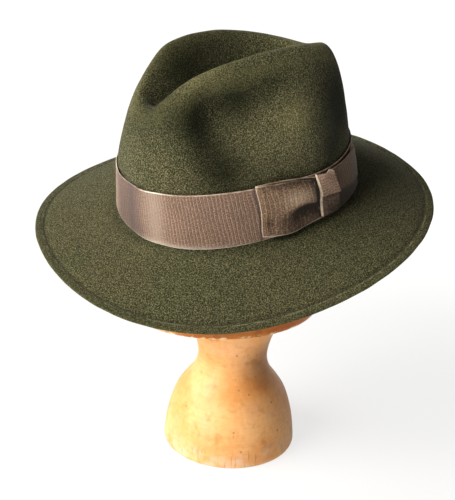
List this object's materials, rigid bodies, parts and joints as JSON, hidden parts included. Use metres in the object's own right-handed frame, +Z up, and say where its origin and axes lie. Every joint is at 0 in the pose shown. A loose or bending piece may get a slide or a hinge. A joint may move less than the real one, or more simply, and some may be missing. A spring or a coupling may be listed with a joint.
{
  "type": "trilby hat on a wooden stand",
  "caption": "Soft felt trilby with a creased, pinched crown, a sloping brim, a ribbed ribbon and a flat side bow, tilted on a turned wooden hat stand.",
  "frame": {"origin": "centre of the stand's round foot, on the surface that it stands on", "axes": "+Z up, -Y the way the hat's front points, +X the wearer's left, where the bow is"},
  "size_m": [0.2819, 0.3292, 0.364],
  "materials": {
    "felt": "matt olive wool felt",
    "ribbon": "ribbed grosgrain, soft sheen",
    "wood": "worn satin varnish on pale wood"
  },
  "bodies": {
    "root": {"felt_body": "felt", "ribbon_band": "ribbon", "bow_loop": "ribbon", "bow_knot": "ribbon", "bow_tail": "ribbon", "stand_block": "wood", "stand_foot": "wood"}
  },
  "joints": []
}
